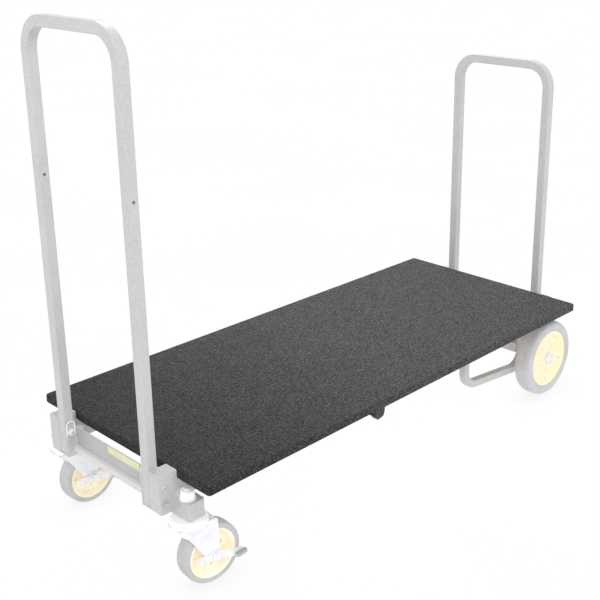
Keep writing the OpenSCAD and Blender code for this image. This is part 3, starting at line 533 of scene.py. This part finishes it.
def make_carpet():
    """One skin: the top, rolled over the edges, down the sides and turned under the board."""
    lo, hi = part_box("deck_carpet")
    board_lo, board_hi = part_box("deck_board")
    half_x, half_y = (hi[0] - lo[0]) / 2, (hi[1] - lo[1]) / 2
    top, bottom = hi[2], board_lo[2]
    flat_x, flat_y = half_x - TOP_RADIUS, half_y - TOP_RADIUS
    columns = int(round(2 * flat_x / CARPET_STEP))
    rows = int(round(2 * flat_y / CARPET_STEP))
    grid_x = np.linspace(-flat_x, flat_x, columns + 1)
    grid_y = np.linspace(-flat_y, flat_y, rows + 1)
    verts = [[*rounded(x, y, flat_x, flat_y, CORNER_RADIUS - TOP_RADIUS), top]
             for y in grid_y for x in grid_x]
    faces = grid_faces(columns, rows)
    border = grid_border(columns, rows)
    top_count = len(verts)

    def outline(inset, height):
        """The border, inset from the outer face; height is a number or a function of x, y."""
        size_x, size_y = half_x - inset, half_y - inset
        radius = max(CORNER_RADIUS - inset, LEAST_CORNER)
        points = []
        for i, j in border:
            x, y = rounded(grid_x[i] * size_x / flat_x, grid_y[j] * size_y / flat_y,
                           size_x, size_y, radius)
            points.append([x, y, height(x, y) if callable(height) else height])
        return points

    def hem(x, y):
        """Underside height: thin on the rails and where the rear brackets' inner ears slide in."""
        off_rail = abs(abs(y) - RAIL_Y)
        free = clamp((off_rail - 0.0185) / FADE)
        ear = clamp((x - (half_x - 0.026)) / FADE) * clamp((0.062 - off_rail) / FADE)
        return bottom - HEM_DROP * free * (1.0 - ear) - 0.00005

    side_top, side_bottom = top - TOP_RADIUS, bottom + HEM_RADIUS - 0.002
    outer = []
    for q in range(1, ROLL_STEPS + 1):
        angle = math.radians(90 * q / ROLL_STEPS)
        outer.append(outline(TOP_RADIUS - TOP_RADIUS * math.sin(angle),
                             side_top + TOP_RADIUS * math.cos(angle)))
    for q in range(1, 4):
        outer.append(outline(0.0, side_top + (side_bottom - side_top) * q / 4))
    for q in range(ROLL_STEPS):
        angle = math.radians(90 * q / ROLL_STEPS)
        share = math.sin(angle)
        outer.append(outline(HEM_RADIUS - HEM_RADIUS * math.cos(angle),
                             lambda x, y: hem(x, y) * share + side_bottom * (1 - share)))

    under = [outline(inset, hem) for inset in HEM_INSETS]
    # the hem's cut edge, then back out to the board's edge and up to just above the board
    under.append(outline(0.0432, lambda x, y: hem(x, y) * 0.6 + bottom * 0.4))
    under.append(outline(0.0434, bottom - 0.00003))
    board_inset = half_x - (board_hi[0] - board_lo[0]) / 2 - 0.0002
    under.append(outline(board_inset, bottom - 0.00003))
    under.append(outline(board_inset, board_hi[2] + 0.0001))

    count = len(border)
    previous = [j * (columns + 1) + i for i, j in border]
    for points in outer + under:
        current = list(range(len(verts), len(verts) + count))
        verts.extend(points)
        for q in range(count):
            after = (q + 1) % count
            faces.append((previous[q], current[q], current[after], previous[after]))
        previous = current
    faces.append(tuple(previous))

    # pile: fine tufts, a slight waviness of the board, and a ragged edge
    for q in range(top_count + len(outer) * count):
        x, y, z = verts[q]
        fine = fbm((x, y, z), scale=150, octaves=2, seed=3.3)
        finer = fbm((x, y, z), scale=330, octaves=1, seed=8.1)
        if q < top_count:
            broad = fbm((x, y, 0), scale=5, octaves=2, seed=1.7)
            inland = min(1.0, min(flat_x - abs(x), flat_y - abs(y)) / 0.05 + 0.25)
            verts[q][2] = z + 0.00030 * fine + 0.00016 * finer + 0.00035 * broad * inland - 0.0004
        else:
            # the high power makes the push square to the nearer side
            out_x, out_y = (x / half_x) ** 9, (y / half_y) ** 9
            length = math.hypot(out_x, out_y) or 1.0
            push = 0.00035 * fine + 0.00020 * finer - 0.0002
            verts[q][0] += out_x / length * push
            verts[q][1] += out_y / length * push
            verts[q][2] += 0.00012 * finer

    middle = (lo[0] + hi[0]) / 2
    for vert in verts:
        vert[0] += middle
    cover = add_piece("deck_carpet_cover", verts, faces, SLOT_MATERIALS["carpet"],
                      "deck")
    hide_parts("deck_carpet")


make_carpet()


# ------------------------------------------------------------------ weld beads
BEAD_RADIUS = 0.0017
BEAD_STEP = 0.0007
BEAD_SIDES = 8
SKID_LEG = 0.019  # width of the skid loops' legs in X


def add_beads(name, paths, body):
    """Beads along the paths and their mirror images in Y: lumpy, rippled, half-buried cords."""
    verts, faces = [], []
    mirrored = [[(x, -y, z) for x, y, z in path] for path in paths]
    for path_index, path in enumerate(paths + mirrored):
        corners = [Vector(point) for point in path]
        centres = []
        for start, end in zip(corners, corners[1:]):
            steps = max(2, int((end - start).length / BEAD_STEP))
            centres += [start.lerp(end, step / steps) for step in range(steps)]
        centres.append(corners[-1])
        last = len(centres) - 1
        rings = []
        for q, centre in enumerate(centres):
            along = (centres[min(q + 1, last)] - centres[max(q - 1, 0)]).normalized()
            side = along.orthogonal().normalized()
            other = along.cross(side)
            ripple = 1.0 + 0.10 * math.sin(q * 1.55)
            ripple += 0.12 * fbm(centre, scale=300, octaves=2, seed=path_index)
            taper = min(1.0, 0.35 + 0.3 * min(q, last - q))
            ring = []
            for s in range(BEAD_SIDES):
                angle = 2 * math.pi * s / BEAD_SIDES
                spoke = side * math.cos(angle) + other * math.sin(angle)
                ring.append(centre + spoke * BEAD_RADIUS * ripple * taper)
            rings.append(ring)
        add_capped_tube(verts, faces, rings)
    add_piece(name, verts, faces, SLOT_MATERIALS["frame"], body)


def upright(x, y, bottom, top):
    return [(x, y, bottom), (x, y, top)]


def make_front_welds():
    rail_lo, rail_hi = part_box("outer_rails")
    arm_lo, arm_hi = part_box("caster_outriggers")
    _, bracket_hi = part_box("front_corner_brackets")
    plate_lo, plate_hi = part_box("front_cross_member")
    top = arm_hi[2]
    rail_y = rail_hi[1] + 0.001
    bracket_y = bracket_hi[1] + 0.0003
    add_beads("front_welds", [
        # outrigger top, along the rail and then along the bracket
        [(bracket_hi[0] + 0.0006, rail_y, top), (arm_hi[0] - 0.002, rail_y, top)],
        [(arm_lo[0] + 0.0005, bracket_y, top), (bracket_hi[0], bracket_y, top)],
        # outrigger front, rail end and cross member end
        upright(arm_lo[0] - 0.0001, bracket_y, arm_lo[2] + 0.012, top - 0.001),
        upright(rail_lo[0] - 0.0003, rail_hi[1] + 0.0002, rail_lo[2] + 0.004,
                rail_hi[2] - 0.004),
        upright(plate_lo[0] + 0.0072, plate_hi[1] - 0.0002, 0.190, 0.228),
    ], "front_base")


def make_rear_welds():
    rail_lo, rail_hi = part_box("inner_rails")
    skid_lo, skid_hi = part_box("skid_loops")
    tube_lo, tube_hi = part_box("lower_cross_tube")
    axle_lo, axle_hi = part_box("axle_plates")
    bracket_lo, bracket_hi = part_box("rear_corner_brackets")
    rail_y = rail_hi[1] + 0.0003
    rail_z = rail_lo[2] + 0.0002
    gap = 0.0002
    # both sides of each skid leg, then the cross tube's ends
    paths = [upright(x, rail_y, rail_lo[2] + 0.001, skid_hi[2] - 0.001)
             for x in (skid_lo[0] - gap, skid_lo[0] + SKID_LEG + gap,
                       skid_hi[0] - SKID_LEG - gap, skid_hi[0] + gap)]
    paths += [upright(x, tube_hi[1] - 0.0002, tube_lo[2] + 0.001, tube_hi[2] - 0.001)
              for x in (skid_hi[0] - SKID_LEG, skid_hi[0])]
    # along the axle plates, and across the rail at the brackets' front edge
    paths.append([(axle_lo[0] + 0.006, rail_y, rail_z), (axle_hi[0] - 0.006, rail_y, rail_z)])
    bracket_x = bracket_lo[0] - 0.0002
    paths.append([(bracket_x, 0.158, rail_z), (bracket_x, bracket_hi[1] - 0.002, rail_z)])
    add_beads("rear_welds", paths, "rear_base")


# ------------------------------------------------------------------ the label
LABEL_Y = (-0.092, 0.014)
LABEL_Z = (0.2150, 0.2316)
LABEL_CORNER = 0.003
LABEL_GRID = (60, 10)       # quads in Y and in Z
LABEL_THICKNESS = 0.00022
LABEL_GAP = 0.00012         # between the label's back and the plate
PLATE_FACE_INSET = 0.0075   # plate's face behind the cross member's front


def make_label():
    """A blank strip on the front cross member, with round corners and one end slightly lifted."""
    lo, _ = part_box("front_cross_member")
    face_x = lo[0] + PLATE_FACE_INSET
    width, height = LABEL_Y[1] - LABEL_Y[0], LABEL_Z[1] - LABEL_Z[0]
    middle_y, middle_z = sum(LABEL_Y) / 2, sum(LABEL_Z) / 2
    columns, rows = LABEL_GRID
    verts = []
    for thickness in (LABEL_THICKNESS, 0.0):
        for j in range(rows + 1):
            for i in range(columns + 1):
                y, z = rounded((i / columns - 0.5) * width, (j / rows - 0.5) * height,
                               width / 2, height / 2, LABEL_CORNER)
                lift = 0.0006 * max(0.0, (i / columns - 0.96) / 0.04) ** 2 * (j / rows)
                lift += 0.00005 * fbm((y, z, 0), scale=90, octaves=2, seed=5.0)
                verts.append((face_x - LABEL_GAP - lift - thickness, middle_y + y, middle_z + z))
    count = (columns + 1) * (rows + 1)
    faces = [face[::-1] for face in grid_faces(columns, rows)]
    faces += grid_faces(columns, rows, base=count)
    ring = [j * (columns + 1) + i for i, j in grid_border(columns, rows)]
    faces += join_rings(ring, [q + count for q in ring])
    add_piece("blank_label", verts, faces, sticker("blank_vinyl"), "front_base")


# ------------------------------------------------------------------ screws and staples
SCREW_X = (-0.540, -0.340, 0.340, 0.540)
SCREW_Y = 0.142
SCREW_SIDES = 28
RECESS_RADIUS = 0.0018  # rings inside this are drawn out into a cross
# radius, height: from the recess's floor over the head to the point under it
SCREW_PROFILE = (
    (0.0, 0.0009), (0.0012, 0.0009), (0.0016, 0.00005), (0.0034, -0.0002),
    (0.0043, 0.0003), (0.0043, 0.0010), (0.0019, 0.0032), (0.0, 0.0032),
)


def screw_ring(centre, radius, height):
    if radius == 0.0:
        return [centre + Vector((0, 0, height))]
    ring = []
    for q in range(SCREW_SIDES):
        angle = 2 * math.pi * q / SCREW_SIDES
        reach = radius
        if radius < RECESS_RADIUS:
            reach = radius * (1.0 + 0.5 * max(0.0, math.cos(4 * angle)) ** 2)
        ring.append(centre + Vector((reach * math.cos(angle), reach * math.sin(angle), height)))
    return ring


def make_screws():
    """Countersunk cross-head screws in the battens' undersides."""
    lo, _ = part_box("deck_battens")
    verts, faces = [], []
    for side in (-1, 1):
        for x in SCREW_X:
            centre = Vector((x, side * SCREW_Y, lo[2] - 0.0001))
            add_rings(verts, faces, [screw_ring(centre, *station) for station in SCREW_PROFILE])
    add_piece("batten_screws", verts, faces, SLOT_MATERIALS["zinc"], "deck")


STAPLES_PER_SIDE = 17
STAPLE_START = -0.56
STAPLE_PITCH = 0.07
STAPLE_INSET = 0.034       # from the carpet's side
STAPLE_HALF_SPAN = 0.0055
WIRE_HALF_Y, WIRE_HALF_Z = 0.0006, 0.00035


def make_staples():
    """Staples of flat wire in the turned-under carpet, set a little unevenly."""
    _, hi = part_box("deck_carpet")
    hem_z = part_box("deck_board")[0][2] - HEM_DROP
    leg_z, crown_z = hem_z + 0.0018, hem_z - 0.0004
    section = ((-WIRE_HALF_Y, -WIRE_HALF_Z), (WIRE_HALF_Y, -WIRE_HALF_Z),
               (WIRE_HALF_Y, WIRE_HALF_Z), (-WIRE_HALF_Y, WIRE_HALF_Z))
    verts, faces = [], []
    for side in (-1, 1):
        for q in range(STAPLES_PER_SIDE):
            x = STAPLE_START + q * STAPLE_PITCH + 0.004 * math.sin(q * 5.1 + side)
            y = side * (hi[1] - STAPLE_INSET + 0.002 * math.sin(q * 3.3))
            rings = []
            for end, z in ((-1, leg_z), (-1, crown_z), (1, crown_z), (1, leg_z)):
                centre = Vector((x + end * STAPLE_HALF_SPAN, y, z))
                # leg ends are cut flat, the bends are mitred
                mitre = 1 if z == crown_z else 0
                rings.append([centre + Vector((-end * dz, dy, mitre * dz)) for dy, dz in section])
            add_capped_tube(verts, faces, rings)
    add_piece("hem_staples", verts, faces, SLOT_MATERIALS["zinc"], "deck")


make_front_welds()
make_rear_welds()
make_label()
make_screws()
make_staples()


# ------------------------------------------------------------------ floor, light, camera
def make_floor():
    """A light box: even white light from below, seen as white with faint contact shade."""
    mat = Mat("pale_floor")
    mat.tree.nodes.remove(mat.shader)
    shade = mat.ramp(mat.ao(distance=0.07, samples=8), span=(0.25, 0.95), to=(0.90, 1.0),
                     smooth=False)
    tint = mat.patches(span=(0.3, 0.7), to=(0.999, 1.004), scale=1.3, detail=2.0)
    to_camera = mat.node("LightPath").outputs["Is Camera Ray"]
    strength = mat.blend(to_camera, 0.94, mat.times(shade, tint))
    emission = mat.node("Emission", Color=(1, 1, 1, 1), Strength=strength)
    mat.fill(mat.output, Surface=emission.outputs[0])
    half, z = 30.0, -0.0002
    mesh = bpy.data.meshes.new("floor")
    mesh.from_pydata([(-half, -half, z), (half, -half, z), (half, half, z), (-half, half, z)],
                     [], [(0, 1, 2, 3)])
    floor = bpy.data.objects.new("floor", mesh)
    mesh.materials.append(mat.material)
    scene.collection.objects.link(floor)


def make_world():
    world = bpy.data.worlds.new("studio")
    scene.world = world
    world.use_nodes = True
    background = world.node_tree.nodes["Background"]
    background.inputs["Color"].default_value = (1.0, 1.0, 1.0, 1)
    background.inputs["Strength"].default_value = 0.84


def add_area_light(name, location, target, size, power):
    light = bpy.data.lights.new(name, "AREA")
    light.energy = power
    light.size = size
    lamp = bpy.data.objects.new(name, light)
    lamp.location = location
    lamp.rotation_mode = "QUATERNION"
    aim = Vector(target) - Vector(location)
    lamp.rotation_quaternion = aim.to_track_quat("-Z", "Y")
    scene.collection.objects.link(lamp)


def make_lights():
    add_area_light("key", location=(-3.2, -1.6, 3.0), target=(0, 0, 0.3), size=2.4, power=32)
    add_area_light("fill", location=(0.8, -4.2, 2.2), target=(0, 0, 0.4), size=3.0, power=24)
    add_area_light("top", location=(1.3, 1.2, 2.6), target=(0.5, 0, 0.2), size=1.8, power=34)


CAMERA_PLACE = (-1.61407, -1.56265, 1.23832)
# the camera's own axes in the scene
CAMERA_RIGHT = (0.6844138073731841, -0.7290934053237715, -0.0007393174748998033)
CAMERA_UP = (0.23155597448870358, 0.21640423818110233, 0.9484466439267123)
CAMERA_BACK = (-0.6913462019534995, -0.6493011720385566, 0.31693598254825484)


def make_camera():
    data = bpy.data.cameras.new("camera")
    camera = bpy.data.objects.new("camera", data)
    scene.collection.objects.link(camera)
    placement = Matrix((CAMERA_RIGHT, CAMERA_UP, CAMERA_BACK)).transposed().to_4x4()
    placement.translation = Vector(CAMERA_PLACE)
    camera.matrix_world = placement
    data.sensor_width = 36.0  # mm, as is the lens
    data.lens = 60.86328
    data.shift_x = data.shift_y = -1 / 12
    data.clip_start = 0.05
    data.clip_end = 100.0
    scene.camera = camera


make_floor()
make_world()
make_lights()
make_camera()
scene.view_settings.view_transform = "Standard"
scene.view_settings.look = "None"
scene.view_settings.exposure = 0.0
scene.view_settings.gamma = 1.0

bpy.context.view_layer.update()
